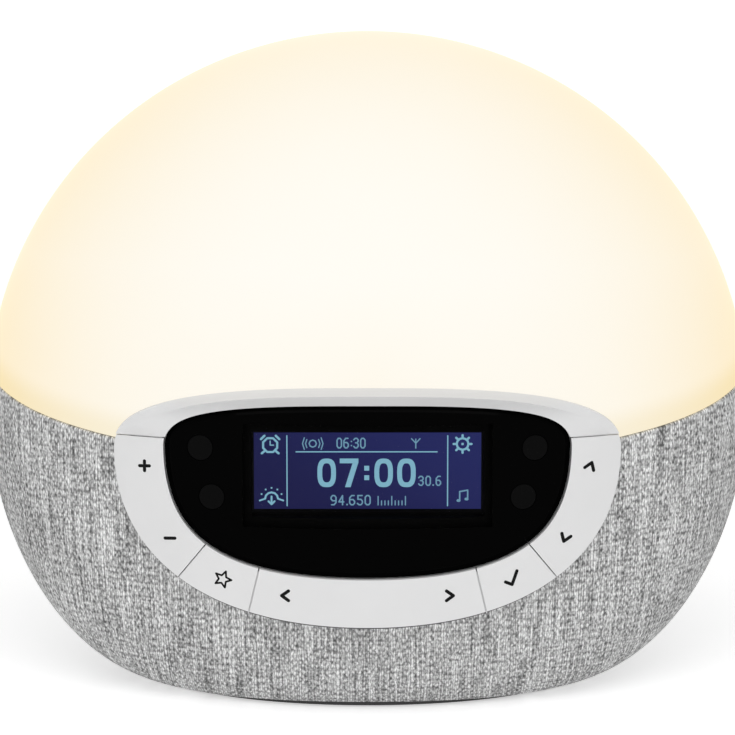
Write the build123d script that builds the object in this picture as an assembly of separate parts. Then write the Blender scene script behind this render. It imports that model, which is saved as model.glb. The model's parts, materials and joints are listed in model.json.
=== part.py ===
from build123d import *
import os
from math import atan2, cos, degrees, hypot, radians, sin, sqrt

# Sunrise alarm clock: a domed wake-up light with a fabric base and a curved control panel.
#
# Everything is drawn about the body's upright axis and moved back a little on export, so that the origin
# is the middle of the footprint. The front faces -Y. Sizes are in millimetres.

# ---------------------------------------------------------------- body: a flattened dome on a round belly
HALF_WIDTH = 105.0  # side to side, at the equator
HALF_DEPTH = 60.0  # front to back
HEIGHT = 180.0
EQUATOR_Z = 76.1
SOLE_HALF = 54.9  # half-width of the flat underneath
SOLE_Z = 0.05
BELLY_SIDE = 0.510  # how far the belly stays upright below the equator
BELLY_SOLE = 0.546  # how far it stays level beside the sole
SEAM_Z = 90.0  # seam between dome and base, at the body's axis
SEAM_TILT = 16.3  # degrees, lower at the front
SEAM_GAP = 0.3
BODY_SHIFT = 2.35  # the body's axis lies this far behind the origin, as the brow reaches forward

# ---------------------------------------------------------------- walls
FABRIC = 1.0
DOME_WALL = 2.4
HOUSING_WALL = 2.4
HOUSING_IN = FABRIC + HOUSING_WALL
LIP_OUT = HOUSING_IN + 0.2
LIP_IN = LIP_OUT + 1.4
LIP_DROP = 4.0
DOME_FOOT = 2.2  # height of the dome's thicker foot
LEDGE_TOP = -7.0  # ledge that carries the light deck, below the seam
LEDGE_THICK = 2.0
LEDGE_IN = 8.0
DECK_PLATE = 2.0

# ---------------------------------------------------------------- control panel, in front view
PANEL_HALF = 67.0
PANEL_TOP = 92.2
PANEL_MID = 74.0
PANEL_BOTTOM = 28.6
PANEL_FULL = (0.688, 0.640)  # fullness of the upper and lower corners: 0.552 is an ellipse, 1 a square
PANEL_POWER = 2.5
WINDOW_HALF = 53.5
WINDOW_TOP = 88.0
WINDOW_MID = 75.7
WINDOW_BOTTOM = 41.6
WINDOW_FULL = (0.738, 0.730)
WINDOW_POWER = 2.7
PANEL_PROUD = 2.0  # the panel's face is an upright elliptic cylinder, this far outside the equator
PANEL_AX = HALF_WIDTH + PANEL_PROUD
PANEL_AY = HALF_DEPTH + PANEL_PROUD
OPENING_IN = 2.5  # how far the body's opening lies inside the panel's outline
TUBE_OUT = 3.0
TUBE_IN = 4.8
TUBE_FRONT = 1.2
TUBE_BACK = -38.0
VOID_BACK = -35.0

# ---------------------------------------------------------------- brow over the window
BROW_FOOT_Z = 77.9  # level of the joints between brow and side keys
RIDGE = 3.0  # how far the ridge stands forward of the panel's face
RIDGE_IN = 1.3  # how far the ridge lies inside the brow's outline, and twice that where it dies out
RIDGE_HALF = 58.0  # the ridge dies out here
RIDGE_POWER = 6  # and keeps its height until close by
BROW_FALL = 2.4  # the brow's upper edge lies this far behind the panel's face
BROW_LIP = 0.8  # overlap of the brow's lower edge over the window
BROW_BACK = -44.0

# ---------------------------------------------------------------- keys
KEY_GAP = 0.35
KEY_FACE = 2.0
KEY_WALL = 1.5
KEY_LIFT = 0.8  # gap between the keys' rims and the body
DECK_FRONT = 3.2
DECK_BACK = 5.2
JOINT_INNER = (42.9, 49.5)  # joint between side key and push key, inner end, X and Z
JOINT_OUTER = (50.8, 39.6)
JOINT_LOW_INNER = (28.6, 43.6)  # joint between push key and bottom key
JOINT_LOW_OUTER = (31.5, 31.4)
SIDE_ENDS = ((58.75, 70.0), (52.1, 51.0))  # the two ends of a side rocker, which its pin lies between
PRESS_SIDE = ((58.1, 70.0), (50.5, 52.5))  # stems of a side key
PRESS_TUNE = (21.4, 38.5)
PRESS_PUSH = (37.3, 42.8)
PUSH_SLOPE = 28.0  # degrees, the ring's direction at the push keys
POST_PITCH = 5.8
POST_R = 1.5
POST_FIT = 0.05
SLEEVE_R = 2.3
STEM_R = 1.6
STEM_HOLE_R = 2.4
PIN_R = 1.2
PIN_FIT = 0.05
PIN_HALF = 3.4
TUNE_PIVOT_Z = 37.4
SIDE_PIVOT_Y = -44.7
TUNE_PIVOT_Y = -54.6

# ---------------------------------------------------------------- round soft keys in the window
SOFT_KEYS = {"upper": (43.9, 75.7), "lower": (40.9, 62.7)}
SOFT_R = 3.3
SOFT_HOLE_R = 3.5
SOFT_FLANGE_R = 4.2
SOFT_TRAVEL = 0.6

# ---------------------------------------------------------------- display stack, flat, behind the window
WINDOW_FACE = 0.6  # the window lies this far behind the keys' faces
WINDOW_BEVEL = (0.8, 1.6)  # deep and wide, round the window's front edge
LCD_Z = 68.8
LCD_VIEW = (62.0, 23.6)
LCD_GLASS = (66.0, 27.0)
LCD_FRONT = -52.5
LCD_THICK = 2.2
LIGHT_THICK = 3.5
BEZEL_RIM = 1.6
BOARD_FRONT = -41.0
BOARD_THICK = 1.6
MAT_THICK = 1.0
DOME_HEIGHT = 2.4
DOME_R = (2.4, 1.7)
DOME_TOP = BOARD_FRONT - MAT_THICK - DOME_HEIGHT
RIBBON_WIDE = 16.0
RIBBON_TOP = 44.0
EAR_PLACES = [(side * x, z) for x, z in ((67.0, 62.0), (36.0, 26.5)) for side in (-1, 1)]

# ---------------------------------------------------------------- rear panel, loudspeaker and inlet
REAR_HALF = 50.0
REAR_Z = 52.0
REAR_HIGH = 28.5
REAR_CORNER = 16.0
REAR_PLATE = 2.6
REAR_LEDGE = 2.4
REAR_SCREWS = [(x, z) for x in (-43.0, 43.0) for z in (31.0, 73.0)]
SPEAKER_R = 24.0
SPEAKER_FRONT = 47.0  # its rim, which faces back
SPEAKER_SCREW_R = 22.5
GRILLE_R = 20.0
SLOT_WIDE = 1.8
SLOT_PITCH = 3.8
INLET_AT = (37.0, 46.0)
INLET_R = 2.75
INLET_PIN_R = 1.0
INLET_BODY = (10.0, 12.0)

# ---------------------------------------------------------------- base
BASE_HALF = (57.0, 36.0)
BASE_GAP = 0.5
BASE_LOW = 0.4
BASE_THICK = 2.6
FOOT_R = 6.0
FEET = [(x, y) for x in (-30.0, 30.0) for y in (-20.0, 20.0)]
BASE_BOSSES = [(x, y) for x in (-44.0, 44.0) for y in (-12.0, 12.0)]
HEAD_R = 2.4
MAIN_Z = 15.0  # underside of the main board
BOARD_POSTS = [(x, y) for x in (-34.0, 34.0) for y in (-14.0, 14.0)]

# ---------------------------------------------------------------- lamp
LED_GRID = (9, 4)
LED_PITCH = (15.0, 12.0)
LED_SIZE = (3.5, 2.8, 0.8)
LAMP_BACK = 8.0  # the lamp board lies this far behind the body's axis
LAMP_SCREWS = [(x, LAMP_BACK + y) for x in (-52.0, 52.0) for y in (-13.0, 13.0)]

SEAM_UP = (0, -sin(radians(SEAM_TILT)), cos(radians(SEAM_TILT)))
SEAM = Plane(origin=(0, 0, SEAM_Z), x_dir=(1, 0, 0), z_dir=SEAM_UP)
BIG = 400.0


# ================================================================ shared forms
def body(inset):
    """The outer form, moved inwards by inset: a revolved outline, flattened front to back."""
    wide = HALF_WIDTH - inset
    sole = SOLE_Z + inset
    crown = EllipticalCenterArc((0, EQUATOR_Z), wide, HEIGHT - EQUATOR_Z - inset, 0, arc_size=90)
    belly = Bezier(
        (wide, EQUATOR_Z),
        (wide, EQUATOR_Z - BELLY_SIDE * (EQUATOR_Z - sole)),
        (SOLE_HALF + BELLY_SOLE * (wide - SOLE_HALF), sole),
        (SOLE_HALF, sole),
    )
    flat = Line((SOLE_HALF, sole), (0, sole))
    middle = Line((0, sole), (0, HEIGHT - inset))
    half = Plane.XZ * make_face([crown, belly, flat, middle])
    return scale(revolve(half, Axis.Z), by=(1, (HALF_DEPTH - inset) / wide, 1))


def above_seam(height):
    """Everything higher than height over the tilted seam plane."""
    return SEAM * Pos(0, 0, height + BIG / 2) * Box(BIG, BIG, BIG)


def below_seam(height):
    return SEAM * Pos(0, 0, height - BIG / 2) * Box(BIG, BIG, BIG)


def oval(half, top, middle, bottom, full):
    """A closed front-view outline of four curves, with the given fullness above and below."""
    up, down = full
    reach_up, reach_down = top - middle, middle - bottom

    def quarter(side, reach, fullness):
        return Bezier(
            (side * half, middle),
            (side * half, middle + fullness * reach),
            (side * fullness * half, middle + reach),
            (0, middle + reach),
        )

    edges = [quarter(1, reach_up, up), quarter(-1, reach_up, up)]
    edges += [quarter(1, -reach_down, down), quarter(-1, -reach_down, down)]
    return make_face(edges)


def panel_outline(inset=0.0):
    top, bottom = PANEL_TOP - inset, PANEL_BOTTOM + inset
    return oval(PANEL_HALF - inset, top, PANEL_MID, bottom, PANEL_FULL)


def window_outline(inset=0.0):
    top, bottom = WINDOW_TOP - inset, WINDOW_BOTTOM + inset
    return oval(WINDOW_HALF - inset, top, WINDOW_MID, bottom, WINDOW_FULL)


def prism(flat, front=-90.0, back=0.0):
    """A front-view outline carried straight back from the front limit to the back limit."""
    return extrude(Plane.XZ.offset(-back) * flat, back - front)


def panel_core(depth):
    """Everything behind the panel's curved face moved back by depth."""
    return extrude(Ellipse(PANEL_AX - depth, PANEL_AY - depth), 130)


def panel_y(x, depth):
    """Where the panel's face, moved back by depth, lies at x."""
    return -(PANEL_AY - depth) * sqrt(1 - (x / (PANEL_AX - depth)) ** 2)


def spot(x, y, z):
    """A place with its local Z pointing back."""
    return Plane(origin=(x, y, z), x_dir=(1, 0, 0), z_dir=(0, 1, 0)).location


def rod(x, z, radius, front, back):
    """A round rod along Y, from front to back."""
    return spot(x, (front + back) / 2, z) * Cylinder(radius, back - front)


def slab(x, z, wide, high, front, back):
    """A flat block facing front."""
    return Pos(x, (front + back) / 2, z) * Box(wide, back - front, high)


def both(x, z):
    """The same place on both sides."""
    return [(-x, z), (x, z)]


# ================================================================ dome and lamp
MODULE_VOID = prism(panel_outline(OPENING_IN), -90, VOID_BACK)


def diffuser_dome():
    """Opal shade: a thin wall, a thicker foot at the seam, and a lip that drops inside the housing."""
    shade = body(0) & above_seam(SEAM_GAP / 2)
    lip = body(LIP_OUT) & above_seam(-LIP_DROP) & below_seam(1.0)
    solid = shade + lip - MODULE_VOID
    return solid - (body(DOME_WALL) & above_seam(DOME_FOOT)) - (body(LIP_IN) & below_seam(DOME_FOOT + 1.0))


def dome_gasket():
    low, high = LEDGE_TOP + DECK_PLATE + 0.05, -LIP_DROP - 0.05
    ring = (body(LIP_OUT) - body(LIP_IN)) & above_seam(low) & below_seam(high)
    return ring - MODULE_VOID


def light_deck():
    """White tray that closes the base and carries the lamps, with a rim against stray light."""
    plate = body(HOUSING_IN + 0.3) & above_seam(LEDGE_TOP) & below_seam(LEDGE_TOP + DECK_PLATE)
    notch = prism(panel_outline(OPENING_IN - 0.4), -90, VOID_BACK + 0.4)
    holes = [SEAM * Pos(x, y, LEDGE_TOP) * Cylinder(1.7, 12) for x, y in LAMP_SCREWS]
    return plate - notch - holes


def led_board():
    low = LEDGE_TOP + DECK_PLATE
    plate = extrude(SEAM.offset(low) * Pos(0, LAMP_BACK) * RectangleRounded(132, 46, 8), 1.2)
    holes = [SEAM * Pos(x, y, low) * Cylinder(1.7, 8) for x, y in LAMP_SCREWS]
    return plate - holes


def warm_leds():
    wide, deep, high = LED_SIZE
    base = LEDGE_TOP + DECK_PLATE + 1.2
    chip = Box(wide, deep, high, align=(Align.CENTER, Align.CENTER, Align.MIN))
    spots = GridLocations(LED_PITCH[0], LED_PITCH[1], LED_GRID[0], LED_GRID[1])
    return [SEAM * Pos(0, LAMP_BACK, base) * place * chip for place in spots]


def heat_spreader():
    """Finned aluminium plate under the deck."""
    top = LEDGE_TOP
    plate = SEAM * Pos(0, LAMP_BACK, top - 1.0) * Box(120, 36, 2)
    fins = [SEAM * Pos(x, LAMP_BACK, top - 5) * Box(1.4, 34, 7) for x in range(-40, 41, 8)]
    holes = [SEAM * Pos(x, y, top) * Cylinder(1.25, 12) for x, y in LAMP_SCREWS]
    return plate + fins - holes


def lamp_screws():
    """Four screws through the lamp board and the deck into the heat spreader."""
    base = LEDGE_TOP + DECK_PLATE + 1.2
    screws = []
    for x, y in LAMP_SCREWS:
        place = SEAM * Pos(x, y, 0)
        head = place * Pos(0, 0, base + 0.8) * Cylinder(2.6, 1.6)
        shank = place * Pos(0, 0, base - 2.55) * Cylinder(1.25, 5.2)
        screws.append(head + shank)
    return screws


# ================================================================ housing and cover
def rear_outline(inset=0.0):
    size = (2 * (REAR_HALF - inset), 2 * (REAR_HIGH - inset))
    return Pos(0, REAR_Z) * RectangleRounded(size[0], size[1], REAR_CORNER - inset)


def base_opening(grow=BASE_GAP):
    return extrude(Ellipse(BASE_HALF[0] + grow, BASE_HALF[1] + grow), 12)


def openings():
    """What is cut from the base's walls: panel, rear panel and sole."""
    front = prism(panel_outline(OPENING_IN), -90, -30)
    rear = prism(rear_outline(-0.3), 30, 90)
    return front + rear + Pos(0, 0, -6) * base_opening()


def fabric_cover():
    skin = (body(0) - body(FABRIC)) & below_seam(-SEAM_GAP / 2)
    return skin - openings()


def housing_shell():
    """Lower housing: a thin belly with a ledge for the light deck, a sole ring, a rear recess and bosses."""
    wall = (body(FABRIC) - body(HOUSING_IN)) & below_seam(-SEAM_GAP / 2)
    ledge = (body(HOUSING_IN - 0.5) - body(LEDGE_IN)) & above_seam(LEDGE_TOP - LEDGE_THICK)
    ledge = ledge & below_seam(LEDGE_TOP)
    shell = wall + ledge - openings() - prism(panel_outline(OPENING_IN), -90, VOID_BACK)
    rim = prism(rear_outline(-3.0), 30, 90) - prism(rear_outline(3.5), 30, 90)
    shell += (rim & body(REAR_PLATE + 0.1)) - body(REAR_PLATE + REAR_LEDGE)
    inside = body(HOUSING_IN - 0.6)
    sole = Ellipse(BASE_HALF[0] + 4, BASE_HALF[1] + 4) - Ellipse(BASE_HALF[0] - 9, BASE_HALF[1] - 9)
    shell += Pos(0, 0, BASE_LOW + BASE_THICK + 0.1) * extrude(sole, 2.4) & inside
    bosses = [rod(x, z, 3.1, -60, TUBE_BACK - 2.0) & inside for x, z in EAR_PLACES]
    bosses += [rod(x, z, 3.2, 38, 60) & body(REAR_PLATE + 0.1) for x, z in REAR_SCREWS]
    bosses += [Pos(x, y, 8) * Cylinder(3.6, 8) for x, y in BASE_BOSSES]
    shell += bosses
    shell -= [rod(x, z, 1.1, -60, -30) for x, z in EAR_PLACES]
    shell -= [rod(x, z, 1.1, 30, 70) for x, z in REAR_SCREWS]
    shell -= [Pos(x, y, 6) * Cylinder(1.1, 12) for x, y in BASE_BOSSES]
    return shell


# ================================================================ control panel: fixed pieces
def oval_radius(angle, half, rise, power):
    """Distance from the middle of an outline to its edge, in the direction of angle."""
    return (abs(cos(angle) / half) ** power + abs(sin(angle) / rise) ** power) ** (-1 / power)


def brow_section(angle):
    """A slice through the brow: window edge, ridge, dome edge, then straight back."""
    inner = oval_radius(angle, WINDOW_HALF, WINDOW_TOP - PANEL_MID, WINDOW_POWER) - BROW_LIP
    outer = oval_radius(angle, PANEL_HALF, PANEL_TOP - PANEL_MID, PANEL_POWER)
    strength = max(0.0, 1 - abs(outer * cos(angle) / RIDGE_HALF) ** RIDGE_POWER)
    inset = RIDGE_IN * (2 - strength)
    crest = oval_radius(angle, PANEL_HALF - inset, PANEL_TOP - inset - PANEL_MID, PANEL_POWER)

    def point(reach, depth, y=None):
        x, z = reach * cos(angle), PANEL_MID + reach * sin(angle)
        return (x, panel_y(x, depth) if y is None else y, z)

    corners = [point(inner, 0.2), point(crest, -RIDGE * strength), point(outer, BROW_FALL * strength)]
    corners += [point(outer, 0, BROW_BACK), point(inner, 0, BROW_BACK)]
    return make_face(Polyline(*corners, close=True))


def brow():
    """The hood over the window: flat at its feet, raised to a sharp ridge in the middle."""
    quarter = (0, 5, 8, 10, 12, 14.5, 18, 23, 31, 43, 58, 74)
    angles = [*quarter, 90, *(180 - angle for angle in reversed(quarter))]
    hood = loft([brow_section(radians(angle)) for angle in angles])
    foot = Pos(0, -60, BROW_FOOT_Z + KEY_GAP / 2 + 50) * Box(200, 100, 100)
    return (hood & foot) - body(-0.15)


def side_frame(side):
    """Axes of a side rocker: its pin's axis as local X, back as local Z."""
    (x1, z1), (x2, z2) = SIDE_ENDS
    run = hypot(x1 - x2, z1 - z2)
    middle = (side * (x1 + x2) / 2, SIDE_PIVOT_Y, (z1 + z2) / 2)
    return Plane(origin=middle, x_dir=(side * (z1 - z2) / run, 0, -(x1 - x2) / run), z_dir=(0, 1, 0))


def tune_frame():
    return Plane(origin=(0, TUNE_PIVOT_Y, TUNE_PIVOT_Z), x_dir=(0, 0, 1), z_dir=(0, 1, 0))


ROCKERS = {"key_volume": side_frame(-1), "key_scroll": side_frame(1), "key_tune": tune_frame()}
PRESSES = {
    "key_volume": [(-x, z) for x, z in PRESS_SIDE],
    "key_scroll": list(PRESS_SIDE),
    "key_tune": both(*PRESS_TUNE),
    "key_preset": [(-PRESS_PUSH[0], PRESS_PUSH[1])],
    "key_select": [PRESS_PUSH],
}
SOFT_PLACES = {
    "soft_key_" + row + "_" + name: (side * x, z)
    for row, (x, z) in SOFT_KEYS.items()
    for name, side in (("left", -1), ("right", 1))
}


def post_places(side):
    """Guide posts of a push key, one on each side of its stem."""
    x, z = PRESS_PUSH
    dx, dz = POST_PITCH * cos(radians(PUSH_SLOPE)), POST_PITCH * sin(radians(PUSH_SLOPE))
    return [(side * (x - dx), z - dz), (side * (x + dx), z + dz)]


def pivot_lugs(frame):
    """Two lugs behind the deck that hold a rocker's pin, open to the front with a narrowed throat."""
    block = (frame * Pos(0, 0, -2) * Box(2 * PIN_HALF + 0.4, 5.4, 8)) & panel_core(DECK_FRONT + 0.5)
    middle = frame * Box(4.4, 6, 12)
    bore = frame * Rot(0, 90, 0) * Cylinder(PIN_R + PIN_FIT, 12)
    throat = frame * Pos(0, 0, -3) * Box(12, 2 * PIN_R - 0.5, 6)
    return block - middle - bore - throat


def pivot_slot(frame):
    """The hole in the deck that lets a rocker's pin and rib in from the front."""
    return frame * Pos(0, 0, -6.3) * Box(2 * PIN_HALF + 0.8, 2 * PIN_R + 0.6, 10)


def soft_depths(x):
    """Where a soft key's flange ends, at rest, and where its guide's web lies."""
    flange = panel_y(abs(x) + SOFT_FLANGE_R, DECK_FRONT + 0.1) + 0.9
    web = flange + SOFT_TRAVEL + 0.3
    return flange, web


def fascia_frame():
    """Panel moulding: brow, deck behind the keys, tube through the body's wall, ears, guides and pivots."""
    deck = (prism(panel_outline(TUBE_OUT), -90, -30) & panel_core(DECK_FRONT)) - panel_core(DECK_BACK)
    tube = prism(panel_outline(TUBE_OUT), -90, TUBE_BACK) - prism(panel_outline(TUBE_IN), -90, 0)
    high = Pos(0, -50, BROW_FOOT_Z + KEY_GAP / 2 + 50) * Box(200, 120, 100)
    rim = tube & panel_core(TUBE_FRONT) & high
    frame = deck + (tube & panel_core(DECK_FRONT)) + rim + brow()
    for x, z in EAR_PLACES:
        frame += ear(x, z)
    for x, z in post_places(-1) + post_places(1):
        back = panel_y(x, DECK_BACK)
        frame += rod(x, z, SLEEVE_R, back - 1.2, back + 3)
    frame += [pivot_lugs(axes) for axes in ROCKERS.values()]
    for x, z in SOFT_PLACES.values():
        web = soft_depths(x)[1]
        frame += rod(x, z, SOFT_FLANGE_R + 1.2, panel_y(abs(x) - 4, DECK_BACK) - 1.0, web + 1.2)
    pocket = prism(window_outline(), -90, 0) - panel_core(DECK_FRONT)
    frame -= pocket
    frame -= slab(0, LCD_Z, LCD_VIEW[0], LCD_VIEW[1], -80, -40)
    for name, places in PRESSES.items():
        frame -= [rod(x, z, STEM_HOLE_R, -80, BOARD_FRONT) for x, z in places]
    frame -= [rod(x, z, POST_R + POST_FIT, -80, BOARD_FRONT) for x, z in post_places(-1) + post_places(1)]
    frame -= [pivot_slot(axes) for axes in ROCKERS.values()]
    for x, z in SOFT_PLACES.values():
        frame -= rod(x, z, SOFT_FLANGE_R + 0.4, -80, soft_depths(x)[1])
        frame -= rod(x, z, STEM_R + POST_FIT, -80, BOARD_FRONT)
    return frame


def ear(x, z):
    """A tab from the tube to a boss in the housing, with its screw hole."""
    plate = rod(x, z, 3.3, TUBE_BACK - 1.9, TUBE_BACK)
    lean = degrees(atan2(60 - z, -x))
    bridge = Pos(x, TUBE_BACK - 0.95, z) * Rot(0, -lean, 0) * Pos(7, 0, 0) * Box(14, 1.9, 6.6)
    tab = plate + (bridge - prism(panel_outline(TUBE_IN - 0.5), -90, 0))
    return tab - rod(x, z, 1.4, -60, -30)


def display_window():
    """Black curved window, bevelled all round, with holes for the soft keys."""
    pane = prism(window_outline(0.2), -90, 0) & panel_core(WINDOW_FACE)
    pane -= panel_core(DECK_FRONT)
    front = pane.faces().sort_by(lambda face: face.center().Y)[0]
    pane = chamfer(front.outer_wire().edges(), WINDOW_BEVEL[0], WINDOW_BEVEL[1])
    pane -= [rod(x, z, SOFT_HOLE_R, -90, -30) for x, z in SOFT_PLACES.values()]
    return pane


def lcd_glass():
    return slab(0, LCD_Z, LCD_GLASS[0], LCD_GLASS[1], LCD_FRONT, LCD_FRONT + LCD_THICK)


def backlight():
    front = LCD_FRONT + LCD_THICK + 0.1
    return slab(0, LCD_Z, LCD_GLASS[0], LCD_GLASS[1], front, front + LIGHT_THICK)


def lcd_bezel():
    """Frame that carries the display on the key board, on four legs."""
    wide, high = LCD_GLASS
    front, back = -51.8, -46.0
    ring = slab(0, LCD_Z, wide + 2 * BEZEL_RIM, high + 2 * BEZEL_RIM, front, back)
    ring -= slab(0, LCD_Z, wide + 0.3, high + 0.3, -60, -30)
    for x in (-wide / 2 - 0.85, wide / 2 + 0.85):
        ring += [rod(x, LCD_Z + z, 0.7, back - 0.2, BOARD_FRONT) for z in (-12, 12)]
    return ring


def keypad_mat():
    """Silicone sheet with a dome under every press point."""
    sheet = prism(panel_outline(TUBE_IN + 1.2), BOARD_FRONT - MAT_THICK, BOARD_FRONT)
    sheet -= slab(0, LCD_Z, LCD_GLASS[0] + 8, LCD_GLASS[1] + 8, -60, -30)
    places = [p for places in PRESSES.values() for p in places] + list(SOFT_PLACES.values())
    base = BOARD_FRONT - MAT_THICK
    dome = Rot(180, 0, 0) * Cone(DOME_R[0], DOME_R[1], DOME_HEIGHT)
    return sheet + [spot(x, base - DOME_HEIGHT / 2, z) * dome for x, z in places]


# ================================================================ keys
def key_faces():
    """The five key outlines in the panel's ring, from left to right."""
    blades = [Pos(0, BROW_FOOT_Z - KEY_GAP / 2 + 50) * Rectangle(200, 100)]
    for side in (-1, 1):
        for (x1, z1), (x2, z2) in ((JOINT_INNER, JOINT_OUTER), (JOINT_LOW_INNER, JOINT_LOW_OUTER)):
            lean = side * degrees(atan2(z1 - z2, x1 - x2))
            middle = Pos(side * (x1 + x2) / 2, (z1 + z2) / 2)
            blades.append(middle * Rot(0, 0, lean) * Rectangle(30, KEY_GAP))
    pieces = panel_outline() - window_outline(-0.2) - blades
    return pieces.faces().sort_by(Axis.X)


KEY_ORDER = ("key_volume", "key_preset", "key_tune", "key_select", "key_scroll")
KEY_OUTLINES = dict(zip(KEY_ORDER, key_faces()))


def key_cap(name):
    """A cap whose face follows the panel, with a skirt along its outer edge that stops short of the body."""
    block = prism(KEY_OUTLINES[name], -90, 0) & panel_core(0)
    face = block - panel_core(KEY_FACE)
    skirt = block - prism(panel_outline(KEY_WALL), -90, 0)
    lifted = body(-KEY_LIFT)
    return (face - (lifted - prism(panel_outline(OPENING_IN + 0.5), -90, 0))) + (skirt - lifted)


def stem(x, z):
    """A round stem from inside the key's face to just clear of its silicone dome."""
    return rod(x, z, STEM_R, panel_y(x, KEY_FACE / 2), DOME_TOP - 0.1)


def rocker_key(name):
    """A rocker: its cap, a rib with the pin across its end, and a stem at each end."""
    axes = ROCKERS[name]
    rib = (axes * Pos(0, 0, -6) * Box(3.4, 2 * PIN_R, 12)) & panel_core(KEY_FACE / 2)
    pin = axes * Rot(0, 90, 0) * Cylinder(PIN_R, 2 * PIN_HALF)
    return key_cap(name) + rib + pin + [stem(x, z) for x, z in PRESSES[name]]


def push_key(name, side):
    """A push key: its cap, a stem and two guide posts."""
    legs = [stem(x, z) for x, z in PRESSES[name]]
    for x, z in post_places(side):
        legs.append(rod(x, z, POST_R, panel_y(x, KEY_FACE / 2), panel_y(x, DECK_BACK) + 3.4))
    return key_cap(name) + legs


def soft_key(name):
    """A round key through the window, with a flange behind it."""
    x, z = SOFT_PLACES[name]
    flange_back = soft_depths(x)[0]
    cap = rod(x, z, SOFT_R, -80, flange_back) & panel_core(WINDOW_FACE)
    flange = rod(x, z, SOFT_FLANGE_R, -80, flange_back) & panel_core(DECK_FRONT + 0.1)
    return cap + flange + rod(x, z, STEM_R, flange_back - 0.5, DOME_TOP - 0.1)


# ================================================================ rear panel and loudspeaker
def rear_panel():
    """Panel in the back of the base: slotted round grille, collar for the loudspeaker, inlet's hole."""
    panel = (prism(rear_outline(), 30, 90) & body(-0.3)) - body(REAR_PLATE)
    collar = rod(0, REAR_Z, SPEAKER_R, SPEAKER_FRONT, 70) - rod(0, REAR_Z, SPEAKER_R - 3.4, 30, 80)
    panel += collar & body(0.5)
    rows = int(GRILLE_R / SLOT_PITCH)
    for row in range(-rows, rows + 1):
        z = row * SLOT_PITCH
        slot = Pos(0, REAR_Z + z) * SlotOverall(2 * sqrt(GRILLE_R**2 - z**2), SLOT_WIDE)
        panel -= prism(slot, 30, 90)
    for x, z in REAR_SCREWS:
        seat = body_back(x, z) - 1.6
        panel -= [rod(x, z, 1.5, 30, 90), rod(x, z, HEAD_R + 0.3, seat, 90)]
    panel -= [rod(x, z, 0.9, 30, SPEAKER_FRONT + 3) for x, z in speaker_holes()]
    return panel - rod(INLET_AT[0], INLET_AT[1], 4.6, 30, 90)


def body_back(x, z):
    """Where a line along Y meets the back of the body."""
    probe = prism(Pos(x, z) * Rectangle(0.2, 0.2), 20, 90) & body(0)
    return probe.bounding_box().max.Y


def speaker_holes():
    """Screw places on the loudspeaker's rim, X and Z."""
    angles = [radians(a) for a in (45, 135, 225, 315)]
    return [(SPEAKER_SCREW_R * cos(a), REAR_Z + SPEAKER_SCREW_R * sin(a)) for a in angles]


def turned(points, front=SPEAKER_FRONT):
    """A ring or disc turned about the loudspeaker's axis, from points of radius and distance inwards."""
    outline = make_face(Polyline(*[(r, -d) for r, d in points], close=True))
    return Pos(0, front, REAR_Z) * revolve(outline, Axis.Y)


def speaker_basket():
    """Pressed frame: flat rim, sloping wall with six windows, and a floor on the magnet."""
    wall = [(19.0, 0), (24, 0), (24, 1.2), (20.4, 1.2), (14.8, 13.0), (14.8, 14.2), (8.6, 14.2), (8.6, 13.0)]
    wall += [(13.8, 13.0), (19.0, 1.4)]
    bowl = turned(wall)
    for turn in range(0, 360, 60):
        window = Pos(0, SPEAKER_FRONT - 6.8, REAR_Z) * Rot(0, turn, 0) * Pos(18.5, 0, 0) * Box(9, 6.5, 10)
        bowl -= window
    return bowl - [rod(x, z, 1.1, 30, 60) for x, z in speaker_holes()]


def speaker_magnet():
    """Ring magnet with its back plate and pole."""
    ring = turned([(8.5, 14.3), (16.0, 14.3), (16.0, 21.0), (8.5, 21.0)])
    plate = turned([(0, 21.0), (15.0, 21.0), (15.0, 23.0), (0, 23.0)])
    pole = turned([(0, 13.6), (6.2, 13.6), (6.2, 21.0), (0, 21.0)])
    return ring + plate + pole


def speaker_cone():
    """Paper cone with its dust cap and voice coil."""
    flare = [(7.8, 8.6), (16.2, 0.05), (16.9, 0.05), (16.9, 0.6)]
    coil = [(8.1, 9.6), (8.1, 18.0), (7.2, 18.0), (7.2, 9.6)]
    cap = [(5.0, 7.6), (0, 6.6), (0, 5.8), (5.4, 6.8)]
    return turned(flare + coil + cap)


def speaker_surround():
    """Rubber roll between the cone and the rim."""
    ring = Pos(18.1, 0) * (Circle(1.4) - Circle(0.9)) & Pos(18.1, 1) * Rectangle(4, 2)
    ring += Pos(16.75, 0.25) * Rectangle(0.9, 0.5) + Pos(19.8, 0.25) * Rectangle(1.2, 0.5)
    return Pos(0, SPEAKER_FRONT, REAR_Z) * revolve(ring, Axis.Y)


def screws(places, head_from, head_to, tip, head_r, shank_r):
    """Pan-head screws along Y: heads between two depths, shanks from the head to the tip."""
    made = []
    for x, z in places:
        head = rod(x, z, head_r, min(head_from, head_to), max(head_from, head_to))
        near = head_to if abs(tip - head_to) < abs(tip - head_from) else head_from
        shank = rod(x, z, shank_r, min(near, tip), max(near, tip))
        made.append(head + shank)
    return made


def fascia_screws():
    return screws(EAR_PLACES, TUBE_BACK + 2.0, TUBE_BACK + 0.05, TUBE_BACK - 3.6, 2.6, 1.08)


def rear_screws():
    made = []
    for x, z in REAR_SCREWS:
        seat = body_back(x, z) - 1.6
        made += screws([(x, z)], seat + 1.5, seat, seat - 8.0, HEAD_R, 1.08)
    return made


def speaker_screws():
    front = SPEAKER_FRONT - 1.2
    return screws(speaker_holes(), front - 1.3, front, SPEAKER_FRONT + 2.8, 1.4, 0.88)


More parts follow.
